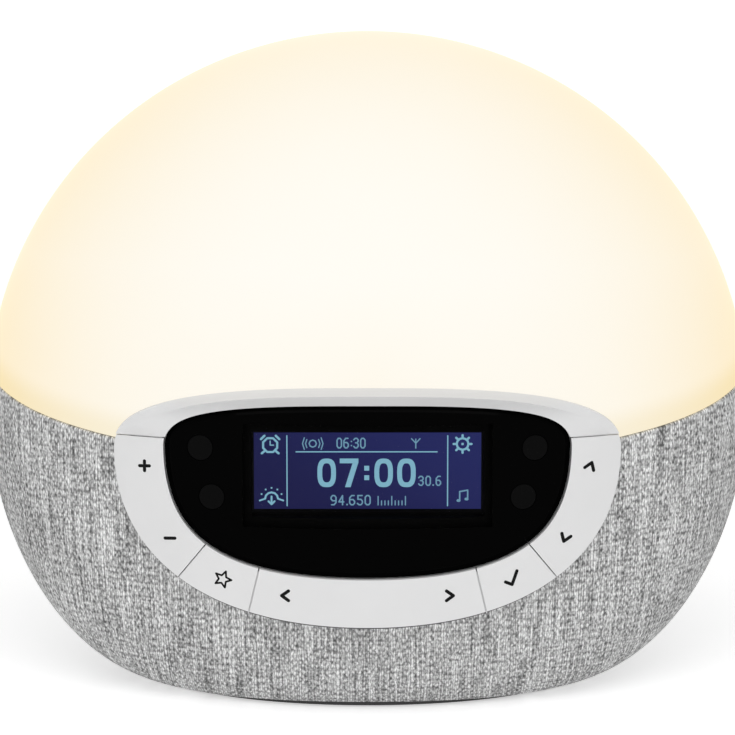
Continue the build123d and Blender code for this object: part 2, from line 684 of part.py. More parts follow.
def dc_inlet():
    """Barrel inlet: square body, round nose in the panel's hole, and a centre pin."""
    x, z = INLET_AT
    wide, high = INLET_BODY
    face = body_back(x, z) - 1.0
    shell = slab(x, z, wide, high, 33, 46) + rod(x, z, 4.3, 45, face)
    shell -= rod(x, z, INLET_R, 36, 80)
    return shell + rod(x, z, INLET_PIN_R, 34, face - 1.0)


# ================================================================ boards and base
def module_cover():
    """Plate that closes the panel module from behind, with a slot for the ribbon."""
    tray = prism(panel_outline(TUBE_OUT), TUBE_BACK + 0.05, TUBE_BACK + 1.5)
    tray -= slab(0, RIBBON_TOP + 3, RIBBON_WIDE + 3, 6, -60, -30)
    return tray - [rod(x, z, 4.2, -60, -30) for x, z in EAR_PLACES]


def key_board():
    return prism(panel_outline(TUBE_IN + 0.4), BOARD_FRONT, BOARD_FRONT + BOARD_THICK)


def display_ribbon():
    """Flat cable from the key board, through the cover, down to the main board."""
    start = BOARD_FRONT + BOARD_THICK
    level = RIBBON_TOP + 2
    corners = [(start + 0.2, level), (start + 7, level), (start + 9, MAIN_Z + 5), (-22.2, MAIN_Z + 2.4)]
    strip = trace(FilletPolyline(*corners, radius=2.5), 0.4)
    return extrude(Plane.YZ.offset(-RIBBON_WIDE / 2) * strip, RIBBON_WIDE)


def main_board():
    plate = Pos(0, 0, MAIN_Z + 0.8) * Box(96, 44, 1.6)
    holes = [Pos(x, y, MAIN_Z) * Cylinder(1.3, 8) for x, y in BOARD_POSTS]
    return plate - holes


def board_parts():
    """Chips, capacitors, a coil and two connectors on the main board."""
    top = MAIN_Z + 1.6
    stand = (Align.CENTER, Align.CENTER, Align.MIN)
    chips = [(0, 4, 12, 12, 1.4), (-20, 2, 9, 6, 1.4), (20, -6, 6, 5, 1.2), (-14, -10, 5, 4, 1.2)]
    made = [Pos(x, y, top) * Box(w, d, h, align=stand) for x, y, w, d, h in chips]
    made += [Pos(x, y, top) * Cylinder(3.2, 8, align=stand) for x, y in ((43, 6), (43, -6), (-43, -6))]
    made.append(Pos(0, -20, top) * Box(18, 4, 3, align=stand))
    made.append(Pos(20, 12, top) * Cylinder(4.5, 5, align=stand))
    return made


def radio_module():
    """Shielded tuner can."""
    return Pos(-18, 14, MAIN_Z + 1.6) * Box(16, 10, 3.2, align=(Align.CENTER, Align.CENTER, Align.MIN))


def base_plate():
    """Dark sole plate: recesses for the feet, posts for the main board, screw holes with counterbores."""
    low, top = BASE_LOW, BASE_LOW + BASE_THICK
    plate = Pos(0, 0, low) * extrude(Ellipse(*BASE_HALF), BASE_THICK)
    plate += [Pos(x, y, (top + MAIN_Z) / 2) * Cylinder(2.8, MAIN_Z - top) for x, y in BOARD_POSTS]
    plate -= [Pos(x, y, low) * Cylinder(FOOT_R + 0.1, 2.0) for x, y in FEET]
    for x, y in BASE_BOSSES:
        plate -= [Pos(x, y, 0) * Cylinder(1.5, 20), Pos(x, y, low) * Cylinder(HEAD_R + 0.2, 2.8)]
    return plate


def rubber_feet():
    return [Pos(x, y, (BASE_LOW + 1.0) / 2) * Cylinder(FOOT_R, BASE_LOW + 1.0) for x, y in FEET]


def base_screws():
    made = []
    for x, y in BASE_BOSSES:
        head = Pos(x, y, BASE_LOW + 0.65) * Cylinder(HEAD_R, 1.3)
        shank = Pos(x, y, BASE_LOW + 5.0) * Cylinder(1.08, 8.0)
        made.append(head + shank)
    return made


def board_screws():
    made = []
    for x, y in BOARD_POSTS:
        head = Pos(x, y, MAIN_Z + 1.6 + 0.8) * Cylinder(2.2, 1.6)
        made.append(head + Pos(x, y, MAIN_Z + 0.9) * Cylinder(1.2, 1.6))
    return made


# ================================================================ write one file per piece
FIXED = [diffuser_dome, dome_gasket, light_deck, led_board, warm_leds, heat_spreader, lamp_screws]
FIXED += [fabric_cover, housing_shell, base_plate, rubber_feet, base_screws, main_board, board_parts]
FIXED += [radio_module, board_screws, rear_panel, rear_screws, dc_inlet, speaker_basket, speaker_magnet]
FIXED += [speaker_surround, speaker_cone, speaker_screws, fascia_frame, fascia_screws, module_cover]
FIXED += [display_window, lcd_glass, backlight, lcd_bezel, key_board, keypad_mat, display_ribbon]


def all_pieces():
    """Every piece by name."""
    made = {make.__name__: make() for make in FIXED}
    for name in ROCKERS:
        made[name] = rocker_key(name)
    made["key_preset"] = push_key("key_preset", -1)
    made["key_select"] = push_key("key_select", 1)
    for name in SOFT_PLACES:
        made[name] = soft_key(name)
    return made


def main():
    os.makedirs("parts", exist_ok=True)
    for name, made in all_pieces().items():
        solids = made if isinstance(made, list) else [made]
        shape = Compound(children=[s for piece in solids for s in piece.solids()])
        export_step(Pos(0, BODY_SHIFT, 0) * shape, "parts/" + name + ".step")


if __name__ == "__main__":
    main()
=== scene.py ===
# The looks of a sunrise alarm clock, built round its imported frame. Lengths are in metres.
import json
from math import cos, pi, radians, sin

import bmesh
import bpy
import numpy as np
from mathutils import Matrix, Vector


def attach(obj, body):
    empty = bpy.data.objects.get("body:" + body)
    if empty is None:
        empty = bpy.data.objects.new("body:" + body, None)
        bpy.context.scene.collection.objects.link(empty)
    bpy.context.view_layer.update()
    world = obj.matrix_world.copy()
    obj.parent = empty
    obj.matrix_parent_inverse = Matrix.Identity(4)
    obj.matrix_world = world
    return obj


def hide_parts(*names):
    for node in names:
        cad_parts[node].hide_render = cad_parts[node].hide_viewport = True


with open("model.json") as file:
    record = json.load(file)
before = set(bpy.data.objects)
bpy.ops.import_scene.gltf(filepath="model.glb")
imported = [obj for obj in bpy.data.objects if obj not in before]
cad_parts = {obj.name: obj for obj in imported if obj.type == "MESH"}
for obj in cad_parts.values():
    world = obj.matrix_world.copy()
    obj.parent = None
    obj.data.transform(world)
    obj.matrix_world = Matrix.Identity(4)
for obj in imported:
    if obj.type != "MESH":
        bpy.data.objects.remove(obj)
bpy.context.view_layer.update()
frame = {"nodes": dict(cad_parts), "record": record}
NODES = frame["nodes"]
CLOCK = "clock"

# ------------------------------------------------------------------ the body's form, as in the frame
# The body's upright axis lies AXIS_Y behind the origin.
AXIS_Y = 0.00235
HALF_WIDTH = 0.105
HALF_DEPTH = 0.060
HEIGHT = 0.180
EQUATOR_Z = 0.0761
SOLE_HALF = 0.0549
SOLE_Z = 0.00005
BELLY_SIDE = 0.510  # second corner of the belly's curve: its share of the drop from equator to sole
BELLY_SOLE = 0.546  # third corner: its share of the way out from the sole's edge to the half width
FLATTEN = HALF_DEPTH / HALF_WIDTH
SEAM_Z = 0.090
SEAM_TILT = radians(16.3)
SEAM_GAP = 0.0003
DOME_WALL = 0.0024
FABRIC_THICK = 0.0010
BASE_EDGE = (0.0575, 0.0365)
PANEL = dict(half=0.067, top=0.0922, middle=0.074, bottom=0.0286, full=(0.688, 0.640))
PANEL_AX = 0.107
PANEL_AY = 0.062
INK_PROUD = 0.00002
OPENING_IN = 0.0025
REAR_HALF = 0.0503
REAR_HIGH = 0.0288
REAR_Z = 0.052
REAR_CORNER = 0.0163
LCD_Z = 0.0688
LCD_Y = -0.0525 + AXIS_Y
LCD_HALF = (0.02985, 0.0102)
MASK_HALF = (0.0305, 0.0115)
MASK_FRONT = 0.0031


# ================================================================== meshes
def put(name, data):
    """A new object in the scene, at the origin."""
    made = bpy.data.objects.new(name, data)
    bpy.context.scene.collection.objects.link(made)
    return made


def faceted(name, points, faces, material):
    """A mesh object from a list of corner places and a list of faces."""
    mesh = bpy.data.meshes.new(name)
    mesh.from_pydata(points, [], faces)
    mesh.materials.append(material)
    return put(name, mesh)


def piece(name, points, faces, body, material, uv=None):
    """A smooth mesh object from arrays of corner places, faces and UV places, riding on a body."""
    made = faceted(name, points.reshape(-1, 3).tolist(), faces.tolist(), material)
    mesh = made.data
    mesh.polygons.foreach_set("use_smooth", np.ones(len(mesh.polygons), bool))
    if uv is not None:
        corner = np.empty(len(mesh.loops), int)
        mesh.loops.foreach_get("vertex_index", corner)
        layer = mesh.uv_layers.new(name="UVMap")
        layer.data.foreach_set("uv", uv.reshape(-1, 2)[corner].astype(np.float32).ravel())
    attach(made, body)
    return made


def grid_faces(rows, columns):
    """The quads of a grid whose corners are numbered row by row."""
    start = (np.arange(rows - 1)[:, None] * columns + np.arange(columns - 1)).reshape(-1, 1)
    return start + np.array([0, columns, columns + 1, 1])


def weld(made, distance=1e-6):
    """Join corners that lie on each other and drop faces that have no area."""
    soup = bmesh.new()
    soup.from_mesh(made.data)
    bmesh.ops.remove_doubles(soup, verts=soup.verts, dist=distance)
    bmesh.ops.dissolve_degenerate(soup, edges=soup.edges, dist=distance)
    soup.to_mesh(made.data)
    soup.free()


def thicken(made, wall):
    """Give a shell its wall, inwards, by a Solidify modifier that is applied at once."""
    modifier = made.modifiers.new("Wall", "SOLIDIFY")
    modifier.thickness = wall
    modifier.offset = -1.0
    bpy.context.view_layer.update()
    shaped = bpy.data.meshes.new_from_object(made.evaluated_get(bpy.context.evaluated_depsgraph_get()))
    made.modifiers.clear()
    made.data = shaped


def crease(made, angle):
    """Shade smoothly, except over edges sharper than the angle in degrees."""
    made.data.polygons.foreach_set("use_smooth", np.ones(len(made.data.polygons), bool))
    made.data.set_sharp_from_angle(angle=radians(angle))


# ================================================================== the body's surface
def outline(count=1600):
    """Radius at the side and height, from the crown to the edge of the sole.

    Above the equator radius = half width times sin t and height = equator + rise times cos t, t from 0 to a
    right angle. Below it a cubic Bezier curve runs to the sole. Both are then spaced evenly by length.
    """
    t = np.linspace(0, pi / 2, count)
    crown = np.stack([HALF_WIDTH * np.sin(t), EQUATOR_Z + (HEIGHT - EQUATOR_Z) * np.cos(t)], 1)
    t = np.linspace(0, 1, count)[1:, None]
    drop = EQUATOR_Z - SOLE_Z
    corners = np.array([
        (HALF_WIDTH, EQUATOR_Z),
        (HALF_WIDTH, EQUATOR_Z - BELLY_SIDE * drop),
        (SOLE_HALF + BELLY_SOLE * (HALF_WIDTH - SOLE_HALF), SOLE_Z),
        (SOLE_HALF, SOLE_Z),
    ])
    belly = bezier(corners, t)
    line = np.vstack([crown, belly])
    run = np.concatenate([[0], np.cumsum(np.hypot(*np.diff(line, axis=0).T))])
    even = np.linspace(0, run[-1], 2 * count)
    return np.interp(even, run, line[:, 0]), np.interp(even, run, line[:, 1]), even


def bezier(corners, t):
    """A cubic Bezier curve: each corner times its share, (1-t)^3, 3t(1-t)^2, 3t^2(1-t) and t^3."""
    return (
        (1 - t) ** 3 * corners[0]
        + 3 * t * (1 - t) ** 2 * corners[1]
        + 3 * t**2 * (1 - t) * corners[2]
        + t**3 * corners[3]
    )


RADIUS, LEVEL, RUN = outline()


def body_surface(run, angle, inset=0.0):
    """Places on the body: run is the length along the outline from the crown, angle is about the axis.

    x = radius cos(angle), y = flatten times radius sin(angle), z = height; inset moves them inwards.
    """
    radius = np.interp(run, RUN, RADIUS)
    height = np.interp(run, RUN, LEVEL)
    down = np.gradient(LEVEL, RUN)
    out = np.gradient(RADIUS, RUN)
    nr, nz = -np.interp(run, RUN, down), np.interp(run, RUN, out)
    x, y = radius * np.cos(angle), FLATTEN * radius * np.sin(angle)
    normal = np.stack([nr * np.cos(angle), nr * np.sin(angle) / FLATTEN, nz], -1)
    normal /= np.linalg.norm(normal, axis=-1, keepdims=True)
    return np.stack([x, y + AXIS_Y, height], -1) - normal * np.asarray(inset)[..., None]


def seam_run(angle, over):
    """Length along the outline where it comes down to a given height over the seam's tilted plane.

    That height is the level over the seam times cos tilt, less the way back from the axis times sin tilt.
    """
    high = (LEVEL - SEAM_Z) * cos(SEAM_TILT) - RADIUS * FLATTEN * np.sin(angle)[:, None] * sin(SEAM_TILT)
    after = np.argmax(high < over, axis=1)
    rows = np.arange(len(angle))
    a, b = high[rows, after - 1], high[rows, after]
    return RUN[after - 1] + (a - over) / (a - b) * (RUN[after] - RUN[after - 1])


def base_run(angle):
    """Length along the outline where it meets the upright ellipse of the base opening."""
    reach = 1 / np.sqrt((np.cos(angle) / BASE_EDGE[0]) ** 2 + (FLATTEN * np.sin(angle) / BASE_EDGE[1]) ** 2)
    return np.interp(-reach, -RADIUS[len(RUN) // 2:], RUN[len(RUN) // 2:])


def oval(half, top, middle, bottom, full, inset=0.0, count=120):
    """A front-view outline of four Bezier quarters, as places X and Z in turn.

    Each runs from the side to the top or the bottom. Its two inner corners lie straight over or under the
    side and level with the end, at the fullness times the way.
    """
    t = np.linspace(0, 1, count)[:, None]
    half, top, bottom = half - inset, top - inset, bottom + inset

    def quarter(side, reach, fullness):
        """One quarter, from the side to the top or the bottom."""
        corners = [(side * half, middle), (side * half, middle + fullness * reach)]
        corners += [(side * fullness * half, middle + reach), (0, middle + reach)]
        return bezier(np.array(corners), t)

    up, down = top - middle, bottom - middle
    quarters = [quarter(1, up, full[0]), quarter(-1, up, full[0])[::-1]]
    quarters += [quarter(-1, down, full[1]), quarter(1, down, full[1])[::-1]]
    return np.vstack([part[:-1] for part in quarters])


def rounded_rectangle(half, high, corner, middle, count=40):
    """A front-view outline of four sides and four quarter circles."""
    turns = np.linspace(0, pi / 2, count)
    places = []
    for quarter, (sx, sz) in enumerate(((1, 1), (-1, 1), (-1, -1), (1, -1))):
        t = turns + quarter * pi / 2
        x = sx * (half - corner) + corner * np.cos(t)
        z = middle + sz * (high - corner) + corner * np.sin(t)
        places.append(np.stack([x, z], 1))
    return evenly(np.vstack(places))


def evenly(edge, count=2400):
    """A closed outline with its places spaced evenly by length, on its straight sides too."""
    closed = np.vstack([edge, edge[:1]])
    run = np.concatenate([[0], np.cumsum(np.hypot(*np.diff(closed, axis=0).T))])
    even = np.linspace(0, run[-1], count, endpoint=False)
    return np.stack([np.interp(even, run, closed[:, 0]), np.interp(even, run, closed[:, 1])], 1)


def open_body(points, faces, edge, middle, side):
    """Cut a front-view outline out of a grid on the body.

    Faces wholly inside go. Corners just inside slide outwards, in line with the middle, to the outline, and
    take their depth from the body: y = flatten times the root of radius squared less x squared.
    """
    angle = np.arctan2(edge[:, 1] - middle, edge[:, 0])
    order = np.argsort(angle)
    reach = np.hypot(edge[:, 0], edge[:, 1] - middle)[order]
    angle = angle[order]
    x, z = points[:, 0], points[:, 2] - middle
    here = np.arctan2(z, x)
    far = np.interp(here, angle, reach, period=2 * pi)
    inside = (np.hypot(x, z) < far) & ((points[:, 1] - AXIS_Y) * side > 0)
    faces = faces[~inside[faces].all(axis=1)]
    moved = np.zeros(len(points), bool)
    moved[faces.ravel()] = True
    moved &= inside
    points = points.copy()
    points[moved, 0] = far[moved] * np.cos(here[moved])
    points[moved, 2] = far[moved] * np.sin(here[moved]) + middle
    radius = np.interp(-points[moved, 2], -LEVEL, RADIUS)
    points[moved, 1] = AXIS_Y + side * FLATTEN * np.sqrt(np.maximum(radius**2 - points[moved, 0] ** 2, 0))
    return points, faces


def on_body(x, z):
    """Depth of the body's front: y = flatten times the root of radius squared less x squared, forwards."""
    radius = np.interp(-z, -LEVEL, RADIUS)
    return AXIS_Y - FLATTEN * np.sqrt(radius**2 - x**2)


def on_keys(x):
    """Depth of the ink on the keys: an upright elliptic cylinder, and a hair in front of it.

    y = the cylinder's depth times the root of 1 less (x / its half width) squared, forwards.
    """
    return AXIS_Y - PANEL_AY * np.sqrt(1 - (x / PANEL_AX) ** 2) - INK_PROUD


def without_unused(points, faces, uv=None):
    """The arrays of a mesh without the corners that no face uses."""
    used = np.unique(faces)
    renumber = np.zeros(len(points), int)
    renumber[used] = np.arange(len(used))
    return points[used], renumber[faces], None if uv is None else uv[used]


# ================================================================== materials
class Wire:
    """An output socket. Arithmetic on it, with wires or numbers, adds Math nodes."""

    def __init__(self, finish, socket):
        self.finish, self.socket = finish, socket

    def math(self, operation, first, second=0.0):
        """A Math node among the same nodes."""
        return self.finish.math(operation, first, second)

    def __add__(self, other):
        return self.math("ADD", self, other)

    def __radd__(self, other):
        return self.math("ADD", other, self)

    def __sub__(self, other):
        return self.math("SUBTRACT", self, other)

    def __rsub__(self, other):
        return self.math("SUBTRACT", other, self)

    def __mul__(self, other):
        return self.math("MULTIPLY", self, other)

    def __rmul__(self, other):
        return self.math("MULTIPLY", other, self)

    def __truediv__(self, other):
        return self.math("DIVIDE", self, other)

    def __pow__(self, other):
        return self.math("POWER", self, other)

    def abs(self):
        return self.math("ABSOLUTE", self)

    def sin(self):
        return self.math("SINE", self)

    def root(self):
        return self.math("SQRT", self)


class Finish:
    """The nodes of a new material or of the scene's world."""

    def __init__(self, name, world=False):
        self.owner = (bpy.data.worlds if world else bpy.data.materials).new(name)
        self.owner.use_nodes = True
        self.tree = self.owner.node_tree
        self.tree.nodes.clear()

    def node(self, kind, settings=None, sockets=None, out=0):
        """Add a node: its settings first, then the values or links of its sockets. Returns one output."""
        made = self.tree.nodes.new("ShaderNode" + kind)
        for key, value in (settings or {}).items():
            if key == "stops":
                self.set_stops(made.color_ramp, value)
            else:
                setattr(made, key, value)
        for key, value in (sockets or {}).items():
            socket = made.inputs[key]
            if isinstance(value, Wire):
                self.tree.links.new(value.socket, socket)
            elif isinstance(value, tuple) and len(value) == 3 and socket.type == "RGBA":
                socket.default_value = (*value, 1)
            else:
                socket.default_value = value
        return Wire(self, made.outputs[out]) if made.outputs else None

    @staticmethod
    def set_stops(ramp, stops):
        """Give a colour ramp its stops, each a place from 0 to 1 and a grey."""
        while len(ramp.elements) < len(stops):
            ramp.elements.new(0.5)
        for element, (place, grey) in zip(ramp.elements, stops):
            element.position = place
            element.color = (grey, grey, grey, 1)

    def place(self):
        """Object coordinates."""
        return self.node("TexCoord", out="Object")

    def axes(self, vector):
        """The three parts of a vector."""
        return [self.node("SeparateXYZ", None, {0: vector}, out) for out in range(3)]

    def math(self, operation, first, second=0.0):
        """One step of arithmetic."""
        return self.node("Math", {"operation": operation}, {0: first, 1: second})

    def colour(self, red, green, blue):
        """A colour from its three parts."""
        return self.node("CombineColor", None, {0: red, 1: green, 2: blue})

    def scaled(self, vector, by):
        """A vector, part by part times another."""
        return self.node("VectorMath", {"operation": "MULTIPLY"}, {0: vector, 1: by})

    def on_rays(self, *kinds):
        """1 on rays of the kinds named, and 0 on others."""
        share = self.node("LightPath", out=kinds[0])
        for kind in kinds[1:]:
            share = self.math("MAXIMUM", share, self.node("LightPath", out=kind))
        return share

    def noise(self, vector, scale=1.0, detail=2.0):
        """Soft noise from 0 to 1, with so many waves per metre."""
        return self.node("TexNoise", None, {"Vector": vector, "Scale": scale, "Detail": detail})

    def blend(self, share, first, second):
        """A colour between two. The Mix node's colours are its inputs 6 and 7 and its output 2."""
        return self.node("Mix", {"data_type": "RGBA"}, {"Factor": share, 6: first, 7: second}, out=2)

    def step(self, value, low, high):
        """A smooth rise from 0 to 1 as value goes from low to high."""
        sockets = {"Value": value, "From Min": low, "From Max": high}
        return self.node("MapRange", {"interpolation_type": "SMOOTHSTEP"}, sockets)

    def bump(self, height, distance, strength=1.0):
        """Relief of a height from 0 to 1, a distance deep."""
        return self.node("Bump", None, {"Height": height, "Distance": distance, "Strength": strength})

    def surface(self, **sockets):
        """The Principled shader and the material's output. Returns the material."""
        names = {key.replace("_", " "): value for key, value in sockets.items()}
        shader = self.node("BsdfPrincipled", None, names)
        self.node("OutputMaterial", None, {0: shader})
        return self.owner


def dimmed(colour, share):
    """A colour times a share."""
    return tuple(part * share for part in colour)


def moulded(name, colour, rough=0.45, grain=0.00025, depth=0.00001, spread=0.04, **more):
    """Moulded plastic or rubber: a fine spark-eroded grain, slightly uneven gloss and faint tone clouds.

    grain is the size of the grain and depth its height, in metres. spread is the share of the colour that the
    clouds lose.
    """
    f = Finish(name)
    here = f.place()
    grains = f.noise(here, 1 / grain, 2.0)
    clouds = f.noise(here, 60.0, 3.0)
    tone = f.blend(f.step(clouds, 0.35, 0.65), dimmed(colour, 1 - spread), colour)
    gloss = rough + (clouds - 0.5) * 0.08
    return f.surface(Base_Color=tone, Roughness=gloss, Normal=f.bump(grains, depth), **more)


def metal(name, colour, rough=0.3):
    """Bare metal with fine turned or drawn marks."""
    f = Finish(name)
    here = f.place()
    marks = f.noise(f.scaled(here, (4000.0, 300.0, 4000.0)), 1.0, 3.0)
    gloss = rough + (marks - 0.5) * 0.2
    tone = f.blend(marks, dimmed(colour, 0.85), colour)
    return f.surface(Base_Color=tone, Metallic=1.0, Roughness=gloss, Normal=f.bump(marks, 0.000005))


def board_finish():
    """Green solder resist over copper tracks."""
    f = Finish("solder_resist")
    cells = f.node("TexVoronoi", {"distance": "CHEBYCHEV"}, {"Vector": f.place(), "Scale": 380.0})
    tracks = f.step(cells, 0.16, 0.2)
    tone = f.blend(tracks, (0.02, 0.14, 0.05), (0.012, 0.07, 0.03))
    return f.surface(Base_Color=tone, Roughness=0.3 + tracks * 0.1, Normal=f.bump(tracks, 0.00002))


OPAL_BRIGHTEST = 0.121
OPAL_FALL = 0.038
RIM_FROM = 0.009
RIM_FULL = 0.0015


def opal_finish():
    """Lit opal plastic, nearly white over the lamps and warmer towards its rim.

    With side = x over the half width and rise = the height over the brightest level, from 0 to 1, loss =
    0.345 (side^2 + 0.6 rise^2)^1.5 + 0.28 rise side^2 + 0.025 rise, and a little more in the middle below
    that level. Red, green and blue lose a small, a middling and a full share of it. Within 9 mm of the seam's
    tilted plane they lose a little more.
    """
    f = Finish("opal_shade")
    x, y, z = f.axes(f.place())
    side = x / HALF_WIDTH
    rise = f.math("MAXIMUM", (z - OPAL_BRIGHTEST) / (HEIGHT - OPAL_BRIGHTEST), 0.0)
    fall = f.math("MAXIMUM", (OPAL_BRIGHTEST - z) / OPAL_FALL, 0.0)
    middle = f.math("MAXIMUM", 1 - 1.6 * side.abs(), 0.0)
    clouds = f.noise(f.place(), 90.0, 2.0)
    over = (z - SEAM_Z) * cos(SEAM_TILT) - (y - AXIS_Y) * sin(SEAM_TILT)
    rim = f.step(over, RIM_FROM, RIM_FULL)
    loss = 0.345 * (side * side + 0.6 * rise * rise) ** 1.5 + 0.28 * rise * side * side + 0.025 * rise
    loss += 0.08 * fall * middle + (clouds - 0.5) * 0.01
    red = 0.945 - 0.03 * loss - 0.045 * rim
    green = 0.925 - 0.40 * loss - 0.07 * rim
    blue = 0.868 - loss - 0.135 * rim
    return f.surface(
        Base_Color=(0.05, 0.045, 0.035),
        Roughness=0.5 + (clouds - 0.5) * 0.06,
        Specular_IOR_Level=0.04,
        Emission_Color=f.colour(red, green, blue),
        Emission_Strength=1.0,
    )


WARP_PITCH = 0.00068
WEFT_PITCH = 0.00108
WOOL_STOPS = [(0.0, 0.09), (0.35, 0.34), (0.65, 0.67), (1.0, 0.95)]
# Painted shade in the furrows between yarns: the grey they take and how much of it.
FURROW_SHADE_GREY = (0.15, 0.15, 0.15)
FURROW_SHADE_SHARE = 0.12


def woven_finish():
    """Plain weave of marled yarn, on the cloth's own UV in metres.

    across and along count the yarns each way, and soft noise makes them wander. Where sin(pi across) times
    sin(pi along) is over zero, the upright yarn lies on top. The tone is the sum of noises stretched along
    the yarns: long upright streaks, short dashes, threads across, fine hairs and slow patches. Painted shade
    darkens it in the furrows between yarns, where crown is small: the size of sin(pi across), times a share
    of that of sin(pi along).
    """
    f = Finish("marled_weave")
    uv = f.node("UVMap", {"uv_map": "UVMap"})
    u, v, _ = f.axes(uv)

    def fibre(across, along, detail=1.0):
        """Noise round zero with so many waves per metre across and along the cloth."""
        return f.noise(f.scaled(uv, (across, along, 1.0)), 1.0, detail) - 0.5

    across = u / WARP_PITCH + 3.0 * fibre(300.0, 50.0, 2.0) + 1.2 * fibre(900.0, 600.0)
    along = v / WEFT_PITCH + 1.2 * fibre(60.0, 330.0, 2.0) + 1.2 * fibre(700.0, 500.0)
    lift = (across * pi).sin() * (along * pi).sin()
    streak = fibre(1450.0, 45.0)
    dash = fibre(1200.0, 800.0)
    thread = fibre(150.0, 950.0)
    hair_up = fibre(2600.0, 1100.0)
    hair_across = fibre(900.0, 2600.0)
    patch = fibre(240.0, 36.0, 2.0)
    value = 0.53 + 1.1 * streak + 1.6 * dash + 0.7 * thread + 0.4 * hair_up + 0.1 * hair_across
    value += 0.12 * lift + 0.5 * patch
    crown = (across * pi).sin().abs() * (0.6 + 0.4 * (along * pi).sin().abs())
    tone = f.node("ValToRGB", {"stops": WOOL_STOPS}, {0: value})
    # Painted shade: the tone greyed in the furrows between yarns.
    furrow_shade = f.blend(FURROW_SHADE_SHARE, FURROW_SHADE_GREY, tone)
    relief = crown * 0.7 + hair_up * 0.3
    return f.surface(
        Base_Color=f.blend(f.step(crown, 0.0, 0.5), furrow_shade, tone),
        Roughness=0.92,
        Specular_IOR_Level=0.1,
        Sheen_Weight=0.1,
        Sheen_Roughness=0.4,
        Normal=f.bump(relief, 0.0002, 0.15),
    )


LENS_BACK = 0.905
LENS_FRONT = 0.975
LENS_SPREAD = 0.0020
LENS_FADE = 0.0003


def lens_finish():
    """Black polished plastic, clear in a rectangle over the display, which is 2 mm wider on the front face.

    The place on the keys' elliptic cylinder, (x / ax)^2 + (y / ay)^2, tells the front face from the back.
    """
    f = Finish("black_lens")
    x, y, z = f.axes(f.place())
    out = (x / PANEL_AX) ** 2.0 + ((y - AXIS_Y).abs() / PANEL_AY) ** 2.0
    spread = LENS_SPREAD * f.step(out, LENS_BACK, LENS_FRONT)
    wide = f.step(x.abs() - spread, MASK_HALF[0] + LENS_FADE, MASK_HALF[0])
    high = f.step((z - LCD_Z).abs() - spread, MASK_HALF[1] + LENS_FADE, MASK_HALF[1])
    swirl = f.noise(f.place(), 40.0, 2.0)
    return f.surface(
        Base_Color=(0.0006, 0.0006, 0.0006),
        Roughness=0.08 + swirl * 0.04,
        Alpha=1 - wide * high * 0.98,
        Specular_IOR_Level=0.012,
    )


LCD_FADE = 0.0001
UNLIT = (0.0016, 0.0016, 0.0016)


def display_finish():
    """Lit indigo display, a little brighter at the top right."""
    f = Finish("lit_display")
    x, _, z = f.axes(f.place())
    wide = f.step(x.abs(), LCD_HALF[0] + LCD_FADE, LCD_HALF[0])
    high = f.step((z - LCD_Z).abs(), LCD_HALF[1] + LCD_FADE, LCD_HALF[1])
    uneven = f.step(x + (z - LCD_Z) * 1.5, -0.035, 0.04)
    glow = f.blend(uneven, (0.0135, 0.0142, 0.066), (0.0195, 0.0235, 0.112))
    return f.surface(
        Base_Color=(0.001, 0.001, 0.0015),
        Roughness=0.2,
        Specular_IOR_Level=0.02,
        Emission_Color=f.blend(wide * high, UNLIT, glow),
        Emission_Strength=1.0,
    )


def glowing(name, colour):
    """Lit symbols of the display, slightly uneven."""
    f = Finish(name)
    cells = f.noise(f.place(), 2500.0, 1.0)
    glow = f.blend(cells, dimmed(colour, 0.85), colour)
    return f.surface(
        Base_Color=(0.01, 0.01, 0.01),
        Roughness=0.4,
        Specular_IOR_Level=0.0,
        Emission_Color=glow,
        Emission_Strength=1.0,
    )


WHITE = (1.0, 1.0, 1.0)
FLOOR_WHITE = (0.86, 0.86, 0.86)
FLOOR_NEAR = 0.50
FLOOR_FAR = 0.90
FLOOR_FAINT = 0.22
WORLD_LIGHT = 0.38


def floor_finish():
    """White to the camera and in reflections, and still dimmed by shadows.

    Those rays see a glow of its own besides, which rises from 0.3 to 1.6 m from the middle.
    """
    f = Finish("studio_floor")
    x, y, _ = f.axes(f.place())
    grey = FLOOR_NEAR + (FLOOR_FAR - FLOOR_NEAR) * f.step((x * x + y * y).root(), 0.3, 1.6)
    lift = f.node("Emission", None, {"Color": f.colour(grey, grey, grey), "Strength": 1.0})
    faint = f.node("Emission", None, {"Color": WHITE, "Strength": FLOOR_FAINT})
    seen = f.on_rays("Is Camera Ray", "Is Glossy Ray")
    extra = f.node("MixShader", None, {0: seen, 1: faint, 2: lift})
    base = f.node("BsdfDiffuse", None, {"Color": FLOOR_WHITE})
    both = f.node("AddShader", None, {0: base, 1: extra})
    f.node("OutputMaterial", None, {0: both})
    return f.owner


def world_finish():
    """White to the camera, in reflections and through clear pieces, and dimmer as a light."""
    f = Finish("studio", world=True)
    seen = f.on_rays("Is Camera Ray", "Is Glossy Ray", "Is Transmission Ray")
    light = f.node("Background", None, {"Color": WHITE, "Strength": WORLD_LIGHT})
    white = f.node("Background", None, {"Color": WHITE, "Strength": 1.0})
    f.node("OutputWorld", None, {0: f.node("MixShader", None, {0: seen, 1: light, 2: white})})
    return f.owner


PALE = (0.70, 0.70, 0.702)
